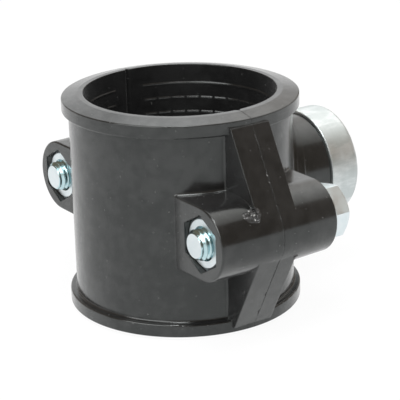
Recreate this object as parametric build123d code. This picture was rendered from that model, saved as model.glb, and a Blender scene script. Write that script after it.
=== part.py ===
from build123d import *
import math
import os

# Two-bolt clamp saddle for a 50 mm pipe, with a threaded outlet.
# The pipe axis is Z, the outlet points along +X, and the bolts lie along X on either side of the pipe.
# The origin is where the pipe axis crosses the outlet axis. Sizes are in millimetres, angles in degrees.

# Pipe and bore
pipe_radius = 25.0
bore_clearance = 0.25  # bore wall to pipe
grip_clearance = 0.07  # ridge crests and seal to pipe, before the bolts are pulled tight
saddle_length = 57.6
split_gap = 0.08  # between the two shells when closed

# Shell wall and end rims
body_wall = 4.0
rim_proud = 1.7  # rim beyond the body
rim_height = 3.4
rim_root = 0.5  # fillet where the rim meets the body
foot_round = 0.45  # edge of the rim towards the body
brim_round = 0.25  # edge of the rim at the end face
end_land = 1.4  # flat ring at each end face
end_fall = 0.95  # how far the end face falls from the land to the rim edge
split_chamfer = 0.8  # on the bore edges along the split

# Gripping ridges inside the bore
ridge_width = 0.7
ridge_pitch = 4.1
ridge_count = 3  # at each end, the outermost in one piece
ridge_first = 5.2  # end face to the first ridge
ridge_stop = 10.0  # kept free beside the split
dash_count = 18  # in each dashed ridge of one shell
dash_gap = 1.4

# Flanges along the split
plain_flange = 6.5  # thickness, plain shell
branch_flange = 5.1  # thickness, branch shell
flange_inset = 1.5  # rim edge to the flange end
flange_proud = 0.3  # flange end beyond the rim
flange_fillet = 0.8
root_sink = 0.04  # the fillet at a flange root starts this far below the faces that it joins

# Bolts, nuts and washers
bolt_radius = 4.0
bolt_margin = 0.3  # bolt hole to the skin of the body
head_flats = 13.0
head_height = 5.2
head_turn = 9.6  # from the horizontal to the first corner
tip_chamfer = 0.9
tip_length = 2.8  # bolt beyond the nut
nut_flats = 13.0
nut_height = 6.5
nut_clearance = 0.06  # nut bore to bolt
washer_radius = 8.2
washer_thickness = 1.2
washer_clearance = 0.25  # washer bore to bolt
hole_clearance = 0.3  # shell hole to bolt
corner_chamfer = 0.95  # chamfer circle as a share of the flats
chamfer_angle = 30.0

# Bosses
boss_margin = 1.95  # boss beyond the washer
boss_draft = 1.5
boss_fillet = 0.5  # end edge
boss_root = 0.6  # fillet where a boss meets the body
boss_reach = 13.0  # how far a boss runs in from its bolt towards the pipe axis
plain_boss_end = 18.2  # split plane to the end of a nut boss
branch_boss_end = 17.2  # split plane to the end of a head boss
pocket_clearance = 0.125  # each flat of the nut
nut_recess = 1.0  # nut face below the boss end

# Outlet
low_pad_share = 0.48  # of the way from the hub to the rims
low_pad_height = 1.25
high_pad_share = 0.135
high_pad_height = 2.5  # above the low pad
root_share = 0.79  # fillet round a pad or the hub, of the least step beside it
outlet_end = 48.0  # pipe axis to the end of the hub
thread_bore = 10.48  # at the roots of the half inch pipe thread
thread_depth = 16.5
mouth_chamfer = 0.9
port_radius = 8.0
ring_start = 38.8
ring_radius = 15.35
ring_proud = 0.75  # ring beyond the hub
ring_wall = 1.75
ring_round = 1.45
ring_back_round = 0.35
ring_clearance = 0.05  # hub seat to the ring
ring_overhang = 0.2  # ring beyond the end of the hub

# Port seal
seal_inner = 10.5
seal_width = 4.5
groove_depth = 2.2
seal_clearance = 0.1

bore_radius = pipe_radius + bore_clearance
body_radius = bore_radius + body_wall
rim_radius = body_radius + rim_proud
half_length = saddle_length / 2
rim_edge = half_length - end_fall
rim_foot = rim_edge - rim_height
half_gap = split_gap / 2
nut_face = plain_boss_end - nut_recess
pocket_floor = nut_face - nut_height
bolt_tip = nut_face + tip_length
head_seat = branch_boss_end + washer_thickness
hole_radius = bolt_radius + hole_clearance
bolt_offset = body_radius + bolt_margin + hole_radius  # pipe axis to bolt axis
boss_radius = washer_radius + boss_margin
hub_radius = ring_radius - ring_proud
pad_room = rim_foot - hub_radius
low_pad_radius = hub_radius + low_pad_share * pad_room
high_pad_radius = hub_radius + high_pad_share * pad_room
pad_root = root_share * min(low_pad_height, high_pad_height, high_pad_radius - hub_radius)
low_pad_skin = body_radius + low_pad_height
high_pad_skin = low_pad_skin + high_pad_height
seat_radius = ring_radius - ring_wall - ring_clearance
overlap = 1.0  # how far joined shapes run into each other, and cutters past what they cut
boss_start = 2 * overlap  # bosses begin this far past the split, deeper than the flanges
near = 0.01  # two measures this close are the same
far = 3 * saddle_length  # longer than anything it cuts


def along_x(radius, start, end, y=0.0):
    """A round bar along X from start to end."""
    return Pos(start, y, 0) * Rot(0, 90, 0) * extrude(Circle(radius), end - start)


def bore_cut(radius):
    """A round bar along the pipe axis, longer than the saddle, its seam in the split."""
    return Rot(0, 0, 90) * Cylinder(radius, far)


def half_space(sign, start=0.0):
    """Everything on one side of the split, from start outwards."""
    return Pos(sign * (far / 2 + start), 0, 0) * Box(far, far, far)


def shell_tube():
    """Both shells as one turned tube with its two rims."""
    outline = Polyline(
        (bore_radius, half_length),
        (bore_radius + end_land, half_length),
        (rim_radius, rim_edge),
        (rim_radius, rim_foot),
        (body_radius, rim_foot),
        (body_radius, -rim_foot),
        (rim_radius, -rim_foot),
        (rim_radius, -rim_edge),
        (bore_radius + end_land, -half_length),
        (bore_radius, -half_length),
        close=True,
    )
    section = make_face(outline)
    for radius, height, size in (
        (body_radius, rim_foot, rim_root),
        (rim_radius, rim_foot, foot_round),
        (rim_radius, rim_edge, brim_round),
    ):
        corners = [
            v for v in section.vertices()
            if abs(v.X - radius) < near and abs(abs(v.Y) - height) < near
        ]
        section = fillet(corners, size)
    return Rot(0, 0, 90) * revolve(Plane.XZ * section, Axis.Z, 360)


def boss_skin(x):
    """Radius of a drafted boss at a distance from the split."""
    return boss_radius - (x + boss_start) * math.tan(math.radians(boss_draft))


def flange_plate(sign, side, thickness):
    """The tapered plate beside the split: a hull of its two ends and a circle flush with the boss."""
    end_z = rim_edge - flange_inset
    end_y = rim_radius + flange_proud
    root_y = bore_radius + overlap
    points = [(root_y, -end_z), (end_y, -end_z), (end_y, end_z), (root_y, end_z)]
    middle = Pos(bolt_offset, 0) * Circle(boss_skin(thickness) - root_sink)
    plate = make_hull(Polygon(*points, align=None).edges() + middle.edges())
    solid = Pos(-overlap, 0, 0) * extrude(Plane.YZ * plate, thickness + overlap, dir=(1, 0, 0))
    if sign < 0:
        solid = solid.mirror(Plane.YZ)
    if side < 0:
        solid = solid.mirror(Plane.XZ)
    return solid


def root_webs(flange):
    """The rounded roots of the flanges, from rim to rim."""
    wall = body_radius - root_sink
    joined = Circle(wall) + Rectangle(2 * (flange - root_sink), 2 * rim_radius)
    corners = [v for v in joined.vertices() if abs(math.hypot(v.X, v.Y) - wall) < near]
    buried = Circle(wall - overlap) + Rectangle(2 * (flange - overlap), far)
    webs = (fillet(corners, flange_fillet) - buried) & Rectangle(2 * (flange + flange_fillet), far)
    height = 2 * (rim_foot + overlap)
    return Pos(0, 0, -height / 2) * extrude(webs, height)


def boss(sign, side, end):
    """A U-shaped boss round the bolt, drafted towards its end, with its end edge rounded."""
    shape = Pos(bolt_offset, 0) * Circle(boss_radius)
    shape += Pos(bolt_offset - boss_reach / 2, 0) * Rectangle(boss_reach, 2 * boss_radius)
    length = end + boss_start
    solid = Pos(-boss_start, 0, 0) * extrude(Plane.YZ * shape, length, dir=(1, 0, 0), taper=boss_draft)
    end_face = solid.faces().sort_by(Axis.X)[-1]
    outer = [e for e in end_face.edges() if e.center().Y > bolt_offset - boss_reach + overlap]
    solid = fillet(outer, boss_fillet)
    if sign < 0:
        solid = solid.mirror(Plane.YZ)
    if side < 0:
        solid = solid.mirror(Plane.XZ)
    return solid


def hex_bar(flats, start, end, y, turn=0.0):
    """A hexagonal bar along X, its first corner turned from -Y towards +Z."""
    profile = Rot(0, 0, turn) * RegularPolygon(flats / 2, 6, major_radius=False)
    return Pos(start, y, 0) * Rot(0, 90, 0) * Rot(0, 0, 90) * extrude(profile, end - start)


def ridge(height, first_angle, sweep):
    """A low three-sided rib round part of the bore."""
    root = bore_radius + grip_clearance
    wedge = Polyline(
        (root, -ridge_width / 2),
        (pipe_radius + grip_clearance, 0),
        (root, ridge_width / 2),
        close=True,
    )
    return Pos(0, 0, height) * Rot(0, 0, first_angle) * revolve(Plane.XZ * make_face(wedge), Axis.Z, sweep)


def ridges(sign):
    """The gripping ridges of one shell: one whole and the rest dashed, stopped short of the split."""
    first_angle = ridge_stop - 90 * sign
    sweep = 180 - 2 * ridge_stop
    dash_pitch = sweep / dash_count
    found = []
    for index in range(ridge_count):
        height = half_length - ridge_first - index * ridge_pitch
        for z in (height, -height):
            if index == 0:
                found.append(ridge(z, first_angle, sweep))
                continue
            for dash in range(dash_count):
                found.append(ridge(z, first_angle + dash * dash_pitch, dash_pitch - dash_gap))
    return found


def from_x(point):
    """Distance of a point from the outlet axis."""
    return math.hypot(point.Y, point.Z)


def from_z(point):
    """Distance of a point from the pipe axis."""
    return math.hypot(point.X, point.Y)


def edges_where(shape, test):
    """The edges that pass the test at two places along them."""
    early, late = 0.3, 0.7
    return [e for e in shape.edges() if test(e @ early) and test(e @ late)]


def add_boss(body, sign, side, end):
    """A boss joined to the body with a fillet all round its root."""
    body += boss(sign, side, end)
    inner_skin = boss_skin(end) - boss_fillet - near
    inner_end = end - boss_fillet - near

    def at_root(point):
        beside = side * point.Y > bolt_offset - boss_reach and abs(point.Z) < boss_radius
        outside = abs(point.Z) > inner_skin or abs(point.X) > inner_end
        return beside and outside and sign * point.X > near

    root = edges_where(body, lambda p: abs(from_z(p) - body_radius) < near and at_root(p))
    return fillet(root, boss_root)


def round_root(body, radius, skin, size):
    """A fillet where a round form along X meets a skin that is concentric with the pipe."""
    root = edges_where(body, lambda p: abs(from_x(p) - radius) < near and abs(from_z(p) - skin) < near)
    return fillet(root, size)


def add_outlet(body):
    """The hub of the outlet on its two curved pads, and the seat of the ring."""
    inside = bore_radius / 2
    body += along_x(low_pad_radius, inside, outlet_end) & bore_cut(low_pad_skin)
    body = round_root(body, low_pad_radius, body_radius, pad_root)
    body += along_x(high_pad_radius, inside, outlet_end) & bore_cut(high_pad_skin)
    body = round_root(body, high_pad_radius, low_pad_skin, pad_root)
    body += along_x(hub_radius, inside, ring_start)
    body = round_root(body, hub_radius, high_pad_skin, pad_root)
    return body + along_x(seat_radius, inside, outlet_end)


def shell(sign, flange, boss_end, finish):
    """One half of the saddle, with its own features added by finish, then bored."""
    body = finish(shell_tube() & half_space(sign))
    for side in (-1, 1):
        body = add_boss(body, sign, side, boss_end)
    plates = [flange_plate(sign, side, flange) for side in (-1, 1)]
    body += plates + [root_webs(flange) & half_space(sign)]
    body &= half_space(sign, half_gap)
    body -= bore_cut(bore_radius)
    wedge = Rot(0, 0, 45) * Box(math.sqrt(2) * split_chamfer, math.sqrt(2) * split_chamfer, far)
    for side in (-1, 1):
        low, high = sorted((0, sign * (boss_end + overlap)))
        body -= along_x(hole_radius, low, high, side * bolt_offset)
        body -= Pos(sign * half_gap, side * bore_radius, 0) * wedge
    return body


def branch_shell():
    """The half that carries the threaded outlet and takes the bolt heads."""
    body = shell(1, branch_flange, branch_boss_end, add_outlet)
    body -= along_x(port_radius, 0, outlet_end + overlap)
    body -= along_x(thread_bore, outlet_end - thread_depth, outlet_end + overlap)
    upwards = (Align.CENTER, Align.CENTER, Align.MIN)
    mouth = Cone(thread_bore, thread_bore + mouth_chamfer, mouth_chamfer, align=upwards)
    body -= Pos(outlet_end - mouth_chamfer, 0, 0) * Rot(0, 90, 0) * mouth
    around = along_x(seal_inner + seal_width, 0, outlet_end)
    groove = around - along_x(seal_inner, 0, outlet_end)
    body -= groove & bore_cut(bore_radius + groove_depth)
    return body + (Part() + ridges(1) - around)


def plain_shell():
    """The half that holds the nuts."""
    body = shell(-1, plain_flange, plain_boss_end, lambda plain: plain)
    for side in (-1, 1):
        flats = nut_flats + 2 * pocket_clearance
        body -= hex_bar(flats, -plain_boss_end - overlap, -pocket_floor, side * bolt_offset, 90)
    return body + ridges(-1)


def reinforcing_ring():
    """The steel ring pressed over the end of the outlet."""
    inner = ring_radius - ring_wall
    end = outlet_end + ring_overhang
    ring = along_x(ring_radius, ring_start, end) - along_x(inner, ring_start - overlap, end + overlap)
    front = edges_where(ring, lambda p: abs(from_x(p) - ring_radius) < near and abs(p.X - end) < near)
    ring = fillet(front, ring_round)
    back = edges_where(ring, lambda p: abs(from_x(p) - ring_radius) < near and abs(p.X - ring_start) < near)
    return fillet(back, ring_back_round)


def port_seal():
    """The rubber ring in the groove round the port, its face curved to the pipe."""
    inner = seal_inner + seal_clearance
    outer = seal_inner + seal_width - seal_clearance
    seal = along_x(outer, 0, outlet_end) - along_x(inner, 0, outlet_end)
    seal &= bore_cut(bore_radius + groove_depth)
    return seal - bore_cut(pipe_radius + grip_clearance)


def chamfer_cone(flats, face_x, sign, y):
    """A blunt cone that trims the corners of a hexagon at its free face."""
    radius = corner_chamfer * flats / 2
    length = 2 * flats
    reach = radius + length / math.tan(math.radians(chamfer_angle))
    cone = Cone(reach, radius, length, align=(Align.CENTER, Align.CENTER, Align.MAX))
    return Pos(face_x, y, 0) * Rot(0, 90 * sign, 0) * cone


def bolt(side, turn):
    """A hexagon bolt: head on the branch side, tip beyond the nut."""
    y = side * bolt_offset
    head_top = head_seat + head_height
    head = hex_bar(head_flats, head_seat, head_top, y, turn)
    head &= chamfer_cone(head_flats, head_top, 1, y)
    shank = along_x(bolt_radius, -bolt_tip, head_seat + overlap, y)
    tip = shank.edges().filter_by(GeomType.CIRCLE).sort_by(Axis.X)[0]
    shank = chamfer(tip, tip_chamfer)
    return head + shank


def nut(side):
    """A hexagon nut that lies in its pocket, chamfered on both faces."""
    y = side * bolt_offset
    body = hex_bar(nut_flats, -nut_face, -pocket_floor, y, 90)
    body &= chamfer_cone(nut_flats, -nut_face, -1, y)
    body &= chamfer_cone(nut_flats, -pocket_floor, 1, y)
    return body - along_x(bolt_radius + nut_clearance, -nut_face - overlap, -pocket_floor + overlap, y)


def washer(side):
    """The plain washer under a bolt head."""
    y = side * bolt_offset
    disc = along_x(washer_radius, branch_boss_end, head_seat, y)
    return disc - along_x(bolt_radius + washer_clearance, branch_boss_end - overlap, head_seat + overlap, y)


nodes = {
    "branch_shell": branch_shell(),
    "plain_shell": plain_shell(),
    "reinforcing_ring": reinforcing_ring(),
    "port_seal": port_seal(),
    "front_bolt": bolt(-1, head_turn),
    "back_bolt": bolt(1, head_turn),
    "front_nut": nut(-1),
    "back_nut": nut(1),
    "front_washer": washer(-1),
    "back_washer": washer(1),
}

os.makedirs("parts", exist_ok=True)
for name, shape in nodes.items():
    export_step(shape, f"parts/{name}.step")
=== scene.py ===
import math
import bmesh
import bpy
from mathutils import Matrix, Vector, noise


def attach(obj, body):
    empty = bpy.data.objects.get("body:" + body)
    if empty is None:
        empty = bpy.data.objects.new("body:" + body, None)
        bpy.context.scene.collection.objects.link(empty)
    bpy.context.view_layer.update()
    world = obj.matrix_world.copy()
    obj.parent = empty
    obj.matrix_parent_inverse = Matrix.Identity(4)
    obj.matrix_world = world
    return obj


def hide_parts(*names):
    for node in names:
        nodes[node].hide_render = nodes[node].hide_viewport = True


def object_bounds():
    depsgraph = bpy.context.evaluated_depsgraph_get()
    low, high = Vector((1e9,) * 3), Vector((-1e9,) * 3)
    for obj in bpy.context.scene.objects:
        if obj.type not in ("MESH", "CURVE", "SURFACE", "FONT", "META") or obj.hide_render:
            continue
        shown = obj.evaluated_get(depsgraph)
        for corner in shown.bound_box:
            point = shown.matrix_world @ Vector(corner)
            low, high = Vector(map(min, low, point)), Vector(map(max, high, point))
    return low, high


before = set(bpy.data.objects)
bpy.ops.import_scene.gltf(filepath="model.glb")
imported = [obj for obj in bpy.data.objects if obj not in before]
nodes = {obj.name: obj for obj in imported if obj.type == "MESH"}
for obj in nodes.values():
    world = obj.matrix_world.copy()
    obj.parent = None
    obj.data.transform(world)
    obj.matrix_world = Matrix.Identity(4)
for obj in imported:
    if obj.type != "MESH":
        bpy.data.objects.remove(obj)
cadBox = [list(corner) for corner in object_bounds()]
mm = 0.001
print("frame loaded:", len(nodes), "nodes")


edgeSamples = 6                                 # rays that round an edge in the shading


# shader sockets as plain expressions

class Signal:
    def __init__(self, recipe, socket):
        self.recipe = recipe
        self.socket = socket

    def work(self, operation, *values):
        return self.recipe.node("ShaderNodeMath", {"operation": operation}, dict(enumerate(values)))

    def __add__(self, other):
        return self.work("ADD", self, other)

    def __radd__(self, other):
        return self.work("ADD", other, self)

    def __sub__(self, other):
        return self.work("SUBTRACT", self, other)

    def __rsub__(self, other):
        return self.work("SUBTRACT", other, self)

    def __mul__(self, other):
        return self.work("MULTIPLY", self, other)

    def __rmul__(self, other):
        return self.work("MULTIPLY", other, self)


class Recipe:
    def __init__(self, tree):
        self.tree = tree
        self.tree.nodes.clear()

    def node(self, kind, settings=None, inputs=None, output=0):
        made = self.tree.nodes.new(kind)
        for name, value in (settings or {}).items():
            setattr(made, name, value)
        for name, value in (inputs or {}).items():
            if isinstance(value, Signal):
                self.tree.links.new(value.socket, made.inputs[name])
            else:
                made.inputs[name].default_value = value
        return Signal(self, made.outputs[output] if made.outputs else None)

    def place(self):
        return self.node("ShaderNodeTexCoord", output="Object")

    def stretched(self, place, scale):
        return self.node("ShaderNodeMapping", {}, {"Vector": place, "Scale": scale})

    def noise(self, place, look):
        scale, detail, roughness = look
        inputs = {"Vector": place, "Scale": scale, "Detail": detail, "Roughness": roughness}
        return self.node("ShaderNodeTexNoise", {}, inputs)

    def spread(self, value, span, result=(0.0, 1.0)):
        inputs = {"Value": value, "From Min": span[0], "From Max": span[1], "To Min": result[0], "To Max": result[1]}
        return self.node("ShaderNodeMapRange", {"interpolation_type": "SMOOTHSTEP"}, inputs)

    def blend(self, amount, first, second):
        # colour mix: sockets 6 and 7 are the two colours, output 2 the result
        return self.node("ShaderNodeMix", {"data_type": "RGBA"}, {0: amount, 6: first, 7: second}, 2)

    def softEdge(self, radius):
        return self.node("ShaderNodeBevel", {"samples": edgeSamples}, {"Radius": radius})

    def bump(self, height, distance, strength, normal):
        inputs = {"Strength": strength, "Distance": distance, "Height": height, "Normal": normal}
        return self.node("ShaderNodeBump", {}, inputs)

    def surface(self, inputs):
        shader = self.node("ShaderNodeBsdfPrincipled", {}, inputs)
        self.node("ShaderNodeOutputMaterial", {}, {"Surface": shader})


def newMaterial(name):
    material = bpy.data.materials.new(name)
    material.use_nodes = True
    return material, Recipe(material.node_tree)


# noises give scale, detail and roughness; spans give where a change starts and ends
shellLook = {
    "black": (0.0080, 0.0080, 0.0080, 1.0),
    "haze": (0.0135, 0.0135, 0.0135, 1.0),
    "hazeSpan": (0.38, 0.62),
    "cloud": (60.0, 3.0, 0.5),
    "mottle": (330.0, 5.0, 0.65),
    "mottleShare": 0.5,                         # the rest is cloud
    "speck": (0.060, 0.060, 0.058, 1.0),        # grains of dust in the moulding
    "specks": (1700.0, 0.0, 0.5),
    "speckSpan": (0.82, 0.86),
    "speckRoughness": 0.2,                      # added to the plastic's
    "roughness": (0.15, 0.23),
    "roughSpan": (0.36, 0.66),
    "ior": 1.55,
    "gloss": (0.94, 1.0, 0.985, 1.0),           # tint of what the skin mirrors
    "film": (0.10, 0.32),                       # greasy film left by the mould, in patches
    "filmShare": 0.6,                           # mottle in the film, the rest is cloud
    "filmSpan": (0.42, 0.62),
    "filmRoughness": 0.2,
    "filmIor": 1.5,
    "edgeRadius": 0.40 * mm,
    "grain": (900.0, 2.0, 0.5),
    "grainHeight": 0.05 * mm,
    "grainStrength": 0.12,
    "dust": 0.07,
    "dustRoughness": 0.4,
}


def makeShellPlastic():
    look = shellLook
    material, r = newMaterial("blackMouldedPlastic")
    place = r.place()
    cloud = r.noise(place, look["cloud"])
    mottle = r.noise(place, look["mottle"])
    grain = r.noise(place, look["grain"])
    specks = r.spread(r.noise(place, look["specks"]), look["speckSpan"])
    patches = cloud * (1.0 - look["mottleShare"]) + mottle * look["mottleShare"]
    plain = r.blend(r.spread(patches, look["hazeSpan"]), look["black"], look["haze"])
    roughness = r.spread(patches, look["roughSpan"], look["roughness"])
    smudges = mottle * look["filmShare"] + cloud * (1.0 - look["filmShare"])
    edge = r.softEdge(look["edgeRadius"])
    r.surface({
        "Base Color": r.blend(specks, plain, look["speck"]),
        "Roughness": roughness + specks * look["speckRoughness"],
        "Normal": r.bump(grain, look["grainHeight"], look["grainStrength"], edge),
        "IOR": look["ior"], "Specular Tint": look["gloss"],
        "Coat Weight": r.spread(smudges, look["filmSpan"], look["film"]),
        "Coat Roughness": look["filmRoughness"], "Coat IOR": look["filmIor"],
        "Sheen Weight": look["dust"], "Sheen Roughness": look["dustRoughness"],
    })
    return material


# plated faces are dull and pale, the rolled threads shinier; the threads' darker, bluer colour is painted dark
# reflection
zincLook = {
    "zincPlate": {"bright": (0.87, 0.91, 0.92, 1.0), "blue": (0.72, 0.82, 0.85, 1.0), "roughness": (0.34, 0.48)},
    # the thread's darker, bluer colours are painted dark reflection in the threads
    "zincThreadShinyWithPaintedShade": {"bright": (0.66, 0.80, 0.82, 1.0), "blue": (0.32, 0.55, 0.60, 1.0), "roughness": (0.14, 0.26)},
    "cloud": (250.0, 3.0, 0.5),
    "roughSpan": (0.3, 0.7),
    "edgeRadius": 0.15 * mm,
}


def makeZinc(name):
    look = zincLook[name]
    material, r = newMaterial(name)
    cloud = r.noise(r.place(), zincLook["cloud"])
    r.surface({
        "Base Color": r.blend(cloud, look["bright"], look["blue"]),
        "Roughness": r.spread(cloud, zincLook["roughSpan"], look["roughness"]),
        "Metallic": 1.0,
        "Normal": r.softEdge(zincLook["edgeRadius"]),
    })
    return material


steelLook = {
    "bright": (0.77, 0.81, 0.815, 1.0),
    "dull": (0.60, 0.65, 0.65, 1.0),
    "dullSpan": (0.42, 0.62),
    "smears": (230.0, 4.0, 0.6),
    "smearStretch": (0.35, 1.0, 1.0),           # drawn out along the outlet
    "roughness": (0.46, 0.58),
    "roughSpan": (0.3, 0.7),
    "turning": (4000.0, 2.0, 0.5),
    "turnStretch": (1.0, 0.02, 0.02),           # drawn out round the outlet
    "turnDepth": 0.02 * mm,
    "turnStrength": 0.15,
    "edgeRadius": 0.15 * mm,
}


def makeSteel():
    look = steelLook
    material, r = newMaterial("turnedSteel")
    place = r.place()
    marks = r.noise(r.stretched(place, look["turnStretch"]), look["turning"])
    smears = r.noise(r.stretched(place, look["smearStretch"]), look["smears"])
    edge = r.softEdge(look["edgeRadius"])
    r.surface({
        "Base Color": r.blend(r.spread(smears, look["dullSpan"]), look["bright"], look["dull"]),
        "Roughness": r.spread(marks, look["roughSpan"], look["roughness"]),
        "Metallic": 1.0,
        "Normal": r.bump(marks, look["turnDepth"], look["turnStrength"], edge),
    })
    return material


rubberLook = {
    "dark": (0.010, 0.010, 0.011, 1.0),
    "grey": (0.020, 0.020, 0.021, 1.0),
    "cloud": (300.0, 3.0, 0.5),
    "roughness": (0.5, 0.7),
    "roughSpan": (0.3, 0.7),
}


def makeRubber():
    look = rubberLook
    material, r = newMaterial("sealRubber")
    cloud = r.noise(r.place(), look["cloud"])
    r.surface({
        "Base Color": r.blend(cloud, look["dark"], look["grey"]),
        "Roughness": r.spread(cloud, look["roughSpan"], look["roughness"]),
    })
    return material


tornLook = {
    "black": (0.018, 0.018, 0.018, 1.0),
    "white": (0.55, 0.55, 0.53, 1.0),           # where the plastic was stretched, and painted highlight on the torn edges
    "whiteningAndHighlightSpan": (0.56, 0.70),
    "stretching": (1300.0, 3.0, 0.6),
    "roughness": 0.30,
    "ior": 1.6,
}


def makeTornPlastic():
    look = tornLook
    material, r = newMaterial("tornPlastic")
    # pale patches: stress-whitened plastic, and painted highlight on the torn facets and the fin
    whiteningAndHighlight = r.spread(r.noise(r.place(), look["stretching"]), look["whiteningAndHighlightSpan"])
    r.surface({
        "Base Color": r.blend(whiteningAndHighlight, look["black"], look["white"]),
        "Roughness": look["roughness"], "IOR": look["ior"],
    })
    return material


shellPlastic = makeShellPlastic()
tornPlastic = makeTornPlastic()
zinc = makeZinc("zincPlate")
zincThreadShinyWithPaintedShade = makeZinc("zincThreadShinyWithPaintedShade")
steel = makeSteel()
rubber = makeRubber()


def dress(node, material):
    for slot in nodes[node].material_slots:
        slot.material = material


for node in ("branch_shell", "plain_shell"):
    dress(node, shellPlastic)
for node in ("front_bolt", "back_bolt", "front_nut", "back_nut", "front_washer", "back_washer"):
    dress(node, zinc)
dress("reinforcing_ring", steel)
dress("port_seal", rubber)
print("materials made")


def addPiece(name, mesh, body, materials, replaced=None):
    data = bpy.data.meshes.new(name)
    mesh.to_mesh(data)
    mesh.free()
    for material in materials:
        data.materials.append(material)
    piece = bpy.data.objects.new(name, data)
    bpy.context.scene.collection.objects.link(piece)
    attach(piece, body)
    if replaced:
        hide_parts(replaced)
    return piece


# turned and threaded pieces: rows of points round an axis parallel to X
turning = {"columns": 72, "weld": 0.0002 * mm, "crease": 24.0}


def turned(side, rows, columns=turning["columns"], first=0.0, closed=False):
    # each row gives (x, radius) for an angle counted from +Y towards +Z; all in millimetres
    mesh = bmesh.new()
    grid = []
    for row in rows:
        line = []
        for column in range(columns + 1):
            run = math.tau * column / columns
            angle = first + run
            x, radius = row(angle, run)
            y, z = side + radius * math.cos(angle), radius * math.sin(angle)
            line.append(mesh.verts.new((x * mm, y * mm, z * mm)))
        grid.append(line)
    pairs = list(zip(grid, grid[1:]))
    if closed:
        pairs.append((grid[-1], grid[0]))
    for lower, upper in pairs:
        for column in range(columns):
            mesh.faces.new((lower[column], lower[column + 1], upper[column + 1], upper[column]))
    bmesh.ops.remove_doubles(mesh, verts=mesh.verts, dist=turning["weld"])
    bmesh.ops.dissolve_degenerate(mesh, edges=mesh.edges, dist=turning["weld"])
    bmesh.ops.recalc_face_normals(mesh, faces=mesh.faces)
    for face in mesh.faces:
        face.smooth = True
    for edge in mesh.edges:
        if len(edge.link_faces) == 2 and edge.calc_face_angle() > math.radians(turning["crease"]):
            edge.smooth = False
    return mesh


def smoothStep(value, low, high):
    share = min(1.0, max(0.0, (value - low) / (high - low)))
    return share * share * (3.0 - 2.0 * share)


def hexRadius(flats, angle, corner):
    # distance from the axis to the side of a hexagon with one corner at the angle given
    sector = math.radians(60.0)
    offset = (angle - corner) % sector - sector / 2.0
    return flats / 2.0 / math.cos(offset)


def fixedRow(x, radius):
    return lambda angle, run: (x, radius)


def hexRow(look, x, corner):
    return lambda angle, run: (x, hexRadius(look["flats"], angle, corner))


def hexChamferRow(look, face, sign, corner):
    # where the blunt cone of the chamfer meets the sides of the hexagon
    slope = math.tan(math.radians(look["chamfer"]))

    def row(angle, run):
        radius = hexRadius(look["flats"], angle, corner)
        return face - sign * slope * (radius - look["topRadius"]), radius
    return row


def threadRows(pitch, profile, start, end, limit):
    # the rows follow the helix, so every crest and root is one clean line
    turns = int((end - start) / pitch) + 3
    rows = []
    for turn in range(-2, turns):
        for place, depth in profile:
            def row(angle, run, base=(turn + place) * pitch, depth=depth):
                x = min(end, max(start, start + base + pitch * run / math.tau))
                return x, limit(x, depth)
            rows.append(row)
    return rows


boltLook = {
    "offset": 33.85, "radius": 4.0, "tip": -20.0, "tipRadius": 3.1, "threadEnd": 2.0,
    "pitch": 1.25, "fade": 1.6, "seat": 18.4, "faceRadius": 5.9, "faceHeight": 0.3,
    "flats": 13.0, "top": 23.6, "topRadius": 6.17, "chamfer": 30.0, "corner": 170.4,
    "threadReach": 4.5,                         # faces nearer to the axis get the thread's finish,
    "endFace": 0.95,                            # apart from those that look this much along it
}
# place along one pitch, from the middle of a crest, and depth in millimetres
boltThread = [
    (-0.095, 0.060), (-0.045, 0.0), (0.045, 0.0), (0.095, 0.060),
    (0.385, 0.690), (0.445, 0.767), (0.555, 0.767), (0.615, 0.690),
]


# faces round the thread get the shinier finish with its painted dark reflection
def dressThreadShinyWithPaintedShade(piece, side):
    axis = Vector((0.0, side * boltLook["offset"] * mm, 0.0))
    for face in piece.data.polygons:
        arm = face.center - axis
        inside = math.hypot(arm.y, arm.z) < boltLook["threadReach"] * mm
        flat = abs(face.normal.x) > boltLook["endFace"]
        face.material_index = int(inside and not flat)


def makeBolt(name, node, side):
    look = boltLook
    corner = math.radians(look["corner"])
    radius, tip, end, seat = look["radius"], look["tip"], look["threadEnd"], look["seat"]
    face = seat + look["faceHeight"]

    def limit(x, depth):
        share = 1.0 - smoothStep(x, end - look["fade"], end)
        return min(radius - depth * share, look["tipRadius"] + x - tip)

    rows = [fixedRow(tip, 0.0), fixedRow(tip, look["tipRadius"])]
    rows += threadRows(look["pitch"], boltThread, tip, end, limit)
    rows += [
        fixedRow(end, radius), fixedRow(seat, radius), fixedRow(seat, look["faceRadius"]),
        fixedRow(face, look["faceRadius"]), hexRow(look, face, corner),
        hexChamferRow(look, look["top"], 1.0, corner),
        fixedRow(look["top"], look["topRadius"]), fixedRow(look["top"], 0.0),
    ]
    mesh = turned(side * look["offset"], rows, first=corner)
    dressThreadShinyWithPaintedShade(addPiece(name, mesh, node, (zinc, zincThreadShinyWithPaintedShade), node), side)


nutLook = {
    "face": -17.2, "seat": -10.7, "flats": 13.0, "topRadius": 6.12, "chamfer": 36.0, "corner": 90.0,
    "mouth": 4.45, "mouthSlope": 1.1, "clearance": 0.06,
}


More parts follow.
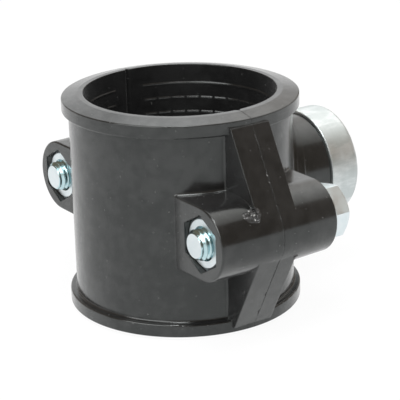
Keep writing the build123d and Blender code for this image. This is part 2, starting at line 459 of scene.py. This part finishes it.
def makeNut(name, node, side):
    look, bolt = nutLook, boltLook
    corner = math.radians(look["corner"])
    face, seat = look["face"], look["seat"]

    def limit(x, depth):
        thread = bolt["radius"] - depth + look["clearance"]
        near = min(x - face, seat - x)
        return max(thread, look["mouth"] - near * look["mouthSlope"])

    # same helix as the bolt's: its first crest is a whole number of pitches from the bolt's
    shift = (bolt["tip"] - face) / bolt["pitch"] % 1.0
    profile = [(place + shift, depth) for place, depth in boltThread]
    rows = [
        fixedRow(face, look["mouth"]), fixedRow(face, look["topRadius"]),
        hexChamferRow(look, face, -1.0, corner), hexChamferRow(look, seat, 1.0, corner),
        fixedRow(seat, look["topRadius"]), fixedRow(seat, look["mouth"]),
    ]
    rows += reversed(threadRows(bolt["pitch"], profile, face, seat, limit))
    mesh = turned(side * bolt["offset"], rows, first=corner, closed=True)
    dressThreadShinyWithPaintedShade(addPiece(name, mesh, "plain_half", (zinc, zincThreadShinyWithPaintedShade), node), side)


washerLook = {
    "bottom": 17.2, "top": 18.4, "radius": 8.2, "hole": 4.25,
    "rolled": 0.3, "rollSteps": 4, "burr": 0.06,
}


def makeWasher(name, node, side):
    look = washerLook
    bottom, top, radius, hole = look["bottom"], look["top"], look["radius"], look["hole"]
    rolled, burr, steps = look["rolled"], look["burr"], look["rollSteps"]
    quarter = [math.radians(90.0 * step / steps) for step in range(steps + 1)]
    rows = [
        fixedRow(top - rolled + rolled * math.cos(angle), hole + rolled - rolled * math.sin(angle))
        for angle in quarter
    ]
    rows += [
        fixedRow(bottom + burr, hole), fixedRow(bottom, hole + burr),
        fixedRow(bottom, radius - burr), fixedRow(bottom + burr, radius),
    ]
    rows += [
        fixedRow(top - rolled + rolled * math.sin(angle), radius - rolled + rolled * math.cos(angle))
        for angle in quarter
    ]
    mesh = turned(side * boltLook["offset"], rows, closed=True)
    addPiece(name, mesh, "branch_half", (zinc,), node)


outletLook = {
    "pitch": 1.814, "root": 10.45, "depth": 1.14, "back": 10.62,
    "bottom": 31.6, "mouth": 47.1, "face": 48.0, "faceRadius": 11.38, "fade": 2.4,
    "columns": 96,
}
pipeThread = [
    (-0.17, 1.05), (-0.06, 1.14), (0.06, 1.14), (0.17, 1.05),
    (0.33, 0.09), (0.44, 0.0), (0.56, 0.0), (0.67, 0.09),
]


def makeOutletThread():
    look = outletLook
    bottom, mouth, root = look["bottom"], look["mouth"], look["root"]

    def limit(x, depth):
        share = smoothStep(x, bottom, bottom + look["fade"])
        chamfer = look["faceRadius"] - (look["face"] - x)
        return min(root, max(root - depth * share, chamfer))

    rows = [fixedRow(mouth, look["back"]), fixedRow(bottom, look["back"])]
    rows += threadRows(look["pitch"], pipeThread, bottom, mouth, limit)
    mesh = turned(0.0, rows, look["columns"], closed=True)
    addPiece("outlet_thread", mesh, "branch_half", (shellPlastic,))


for side, end in ((-1.0, "front"), (1.0, "back")):
    makeBolt(f"{end}_bolt_threaded", f"{end}_bolt", side)
    makeNut(f"{end}_nut_threaded", f"{end}_nut", side)
    makeWasher(f"{end}_washer_stamped", f"{end}_washer", side)
makeOutletThread()
print("threaded pieces made")


# places where the moulding was torn or trimmed; sizes in millimetres
scarLook = {
    "gate_scar": {
        "node": "plain_shell", "place": (-7.5, -40.8, 7.0), "outward": (-0.04, -0.75, 0.66),
        "size": (2.7, 1.9), "height": 0.75, "seed": 3.0,
    },
    "flange_scar": {
        "node": "branch_shell", "place": (5.2, -41.5, -6.6), "outward": (0.25, -0.80, -0.55),
        "size": (0.8, 0.9), "height": 0.35, "seed": 11.0,
    },
    "root_scar": {
        "node": "branch_shell", "place": (14.4, -25.7, 10.2), "outward": (0.30, -0.70, 0.62),
        "size": (1.0, 0.8), "height": 0.35, "seed": 17.0,
    },
    "foot_scar": {
        "node": "plain_shell", "place": (-6.5, -35.4, -15.1), "outward": (-1.0, 0.0, 0.0),
        "size": (0.5, 0.7), "height": 0.12, "seed": 23.0,
    },
}
tearLook = {
    "rings": 12, "spokes": 40,
    "ragged": 0.35, "raggedScale": 1.4,         # how uneven the outline is
    "cragScale": 1.1, "cragLevels": 4, "lowest": 0.15,
    "sunk": 0.05,                               # the rim of a scar, below the skin
    "above": 3.0, "reach": 8.0,                 # the skin is looked for from above
    "steep": 0.7,                               # a skin that faces X more than this turns the scar
}
bodyOf = {"plain_shell": "plain_half", "branch_shell": "branch_half"}


def makeScar(name):
    look, tear = scarLook[name], tearLook
    node = nodes[look["node"]]
    outward = Vector(look["outward"]).normalized()
    if abs(outward.x) < tear["steep"]:
        across = Vector((1.0, 0.0, 0.0)) - outward * outward.x
    else:
        across = outward.orthogonal()
    across.normalize()
    along = outward.cross(across)
    centre = Vector(look["place"])
    wide, tall = look["size"]
    rings, spokes = tear["rings"], tear["spokes"]
    mesh = bmesh.new()

    def point(ring, spoke):
        share, angle = ring / rings, math.tau * spoke / spokes
        x, y = math.cos(angle), math.sin(angle)
        swell = noise.noise(Vector((x * tear["raggedScale"], y * tear["raggedScale"], look["seed"])))
        ragged = 1.0 + tear["ragged"] * swell
        step = across * (wide * share * ragged * x) + along * (tall * share * ragged * y)
        start = (centre + step + outward * tear["above"]) * mm
        where, normal = node.ray_cast(start, -outward, distance=tear["reach"] * mm)[1:3]
        cragged = step * tear["cragScale"] + Vector((0.0, 0.0, look["seed"]))
        crag = noise.turbulence(cragged, tear["cragLevels"], True)
        lift = look["height"] * (tear["lowest"] + crag) * (1.0 - share ** 3) - tear["sunk"] * share ** 3
        spot = where + normal * lift * mm
        spot.y = max(spot.y, cadBox[0][1])
        return mesh.verts.new(spot)

    inner = [point(0, 0)] * spokes
    for ring in range(1, rings + 1):
        outer = [point(ring, spoke) for spoke in range(spokes)]
        for spoke in range(spokes):
            after = (spoke + 1) % spokes
            corners = [inner[spoke], outer[spoke], outer[after], inner[after]]
            mesh.faces.new(corners[:3] if ring == 1 else corners)
        inner = outer
    bmesh.ops.recalc_face_normals(mesh, faces=mesh.faces)
    addPiece(name, mesh, bodyOf[look["node"]], (tornPlastic,))


# thin fin of plastic squeezed out along the joint of the front flanges
finLook = {
    "x": -0.12, "halfWidth": 0.11, "height": 0.60, "threshold": 0.12,
    "top": 25.0, "bottom": -24.0, "step": 0.2,
    "sunk": 0.05, "lowest": 0.025,              # its foot, and its edge where it is broken off
    "wave": 0.5, "waveSeed": (0.0, 3.0),
    "ripple": 2.4, "rippleSeed": (5.0, 0.0), "rippleShare": 0.6,
    "before": -60.0, "reach": 60.0,             # the skin is looked for from in front
}


def makeFin():
    look = finLook
    node = nodes["plain_shell"]
    side = Vector((look["halfWidth"] * mm, 0.0, 0.0))
    mesh = bmesh.new()
    rows = []
    for index in range(int((look["top"] - look["bottom"]) / look["step"]) + 1):
        z = look["top"] - look["step"] * index
        start = Vector((look["x"], look["before"], z)) * mm
        where, normal = node.ray_cast(start, Vector((0.0, 1.0, 0.0)), distance=look["reach"] * mm)[1:3]
        wave = noise.noise(Vector((*look["waveSeed"], z * look["wave"])))
        ripple = noise.noise(Vector((*look["rippleSeed"], z * look["ripple"])))
        swell = wave + look["rippleShare"] * ripple
        height = look["height"] * max(0.0, swell - look["threshold"]) - look["lowest"]
        out = Vector((0.0, normal.y, normal.z)).normalized()
        low = where - out * look["sunk"] * mm
        tip = where + out * height * mm
        tip.y = max(tip.y, cadBox[0][1])
        rows.append([mesh.verts.new(low - side), mesh.verts.new(tip), mesh.verts.new(low + side)])
    for before, row in zip(rows, rows[1:]):
        for corner in range(2):
            mesh.faces.new((before[corner], before[corner + 1], row[corner + 1], row[corner]))
    bmesh.ops.recalc_face_normals(mesh, faces=mesh.faces)
    addPiece("joint_fin", mesh, "plain_half", (tornPlastic,))


for name in scarLook:
    makeScar(name)
makeFin()
print("torn places made")


# camera where the photographer stood: angles in degrees, lengths in metres
view = {
    "azimuth": -34.47, "elevation": 19.46, "roll": -1.51,
    "distance": 425.76 * mm, "aim": (4.45 * mm, -1.88 * mm),
    "focal": 144.34, "sensor": 36.0, "nearest": 0.01,
}


def addCamera():
    azimuth, elevation, roll = (math.radians(view[key]) for key in ("azimuth", "elevation", "roll"))
    level = math.cos(elevation)
    back = Vector((math.sin(azimuth) * level, -math.cos(azimuth) * level, math.sin(elevation)))
    right = Vector((math.cos(azimuth), math.sin(azimuth), 0.0))
    up = back.cross(right)
    across, rise = view["aim"]
    place = back * view["distance"] + right * across + up * rise
    rolledRight = right * math.cos(roll) + up * math.sin(roll)
    rolledUp = up * math.cos(roll) - right * math.sin(roll)
    turn = Matrix((rolledRight, rolledUp, back)).transposed()
    data = bpy.data.cameras.new("camera")
    data.lens = view["focal"]
    data.sensor_width = view["sensor"]
    data.clip_start = view["nearest"]
    camera = bpy.data.objects.new("camera", data)
    bpy.context.scene.collection.objects.link(camera)
    camera.matrix_world = Matrix.Translation(place) @ turn.to_4x4()
    bpy.context.scene.camera = camera


studio = {
    "lamps": {
        "overhead": {"place": (0.34, 0.12, 0.54), "size": (0.95, 0.95), "power": 1.3, "spread": 95.0},
        "left": {"place": (-0.66, -0.18, 0.42), "size": (0.64, 0.64), "power": 2.3, "spread": 120.0},
        "spot": {"place": (-0.12, -0.17, 0.61), "size": (0.22, 0.22), "power": 0.9, "spread": 120.0},
    },
    "white": (1.0, 1.0, 1.0, 1.0),
    "dark": (0.20, 0.15, 0.105, 1.0),           # the unlit room that the glossy skin mirrors
    "darkSides": [                              # where it is, and where it starts and is full
        ((0.87, -0.35, 0.35), (0.38, 0.54)),
        ((-0.53, -0.78, 0.33), (0.35, 0.70)),
        ((-0.60, 0.65, 0.47), (0.60, 0.80)),
    ],
    "fill": 0.70,                               # light of the room on matt surfaces
    "floor": (0.86, 0.86, 0.86, 1.0),
    "floorSize": 6.0,
    "floorSeen": 0.94,                          # how white the floor looks; the rest keeps the shadow
}


def addLamp(name):
    look = studio["lamps"][name]
    data = bpy.data.lights.new(name, "AREA")
    data.shape = "RECTANGLE"
    data.size, data.size_y = look["size"]
    data.energy = look["power"]
    data.spread = math.radians(look["spread"])
    lamp = bpy.data.objects.new(name, data)
    bpy.context.scene.collection.objects.link(lamp)
    lamp.location = look["place"]
    lamp.rotation_euler = (-lamp.location).to_track_quat("-Z", "Y").to_euler()


def addFloor():
    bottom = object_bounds()[0][2]
    bpy.ops.mesh.primitive_plane_add(size=studio["floorSize"], location=(0.0, 0.0, bottom))
    floor = bpy.context.object
    floor.name = "floor"
    material, r = newMaterial("paleFloor")
    seen = r.node("ShaderNodeLightPath", output="Is Camera Ray")
    glossy = r.node("ShaderNodeLightPath", output="Is Glossy Ray")
    matte = r.node("ShaderNodeBsdfDiffuse", {}, {"Color": studio["floor"]})
    white = r.node("ShaderNodeEmission", {}, {"Color": studio["white"], "Strength": 1.0})
    share = r.node("ShaderNodeMath", {"operation": "MAXIMUM"}, {0: seen * studio["floorSeen"], 1: glossy})
    shader = r.node("ShaderNodeMixShader", {}, {0: share, 1: matte, 2: white})
    r.node("ShaderNodeOutputMaterial", {}, {"Surface": shader})
    floor.data.materials.append(material)


def addWorld():
    world = bpy.data.worlds.new("studio")
    bpy.context.scene.world = world
    world.use_nodes = True
    r = Recipe(world.node_tree)
    seen = r.node("ShaderNodeLightPath", output="Is Camera Ray")
    glossy = r.node("ShaderNodeLightPath", output="Is Glossy Ray")
    through = r.node("ShaderNodeLightPath", output="Is Transmission Ray")
    direction = r.node("ShaderNodeTexCoord", output="Generated")
    lit = 1.0
    for side, span in studio["darkSides"]:
        facing = r.node("ShaderNodeVectorMath", {"operation": "DOT_PRODUCT"}, {0: direction, 1: side}, "Value")
        lit = lit * (1.0 - r.spread(facing, span))
    mirrored = r.blend((1.0 - lit) * glossy, studio["white"], studio["dark"])
    strength = r.spread(seen + glossy + through, (0.0, 1.0), (studio["fill"], 1.0))
    shade = r.node("ShaderNodeBackground", {}, {"Color": mirrored, "Strength": strength})
    r.node("ShaderNodeOutputWorld", {}, {"Surface": shade})


addCamera()
for name in studio["lamps"]:
    addLamp(name)
addFloor()
addWorld()
bpy.context.scene.view_settings.view_transform = "Standard"
print("studio set")
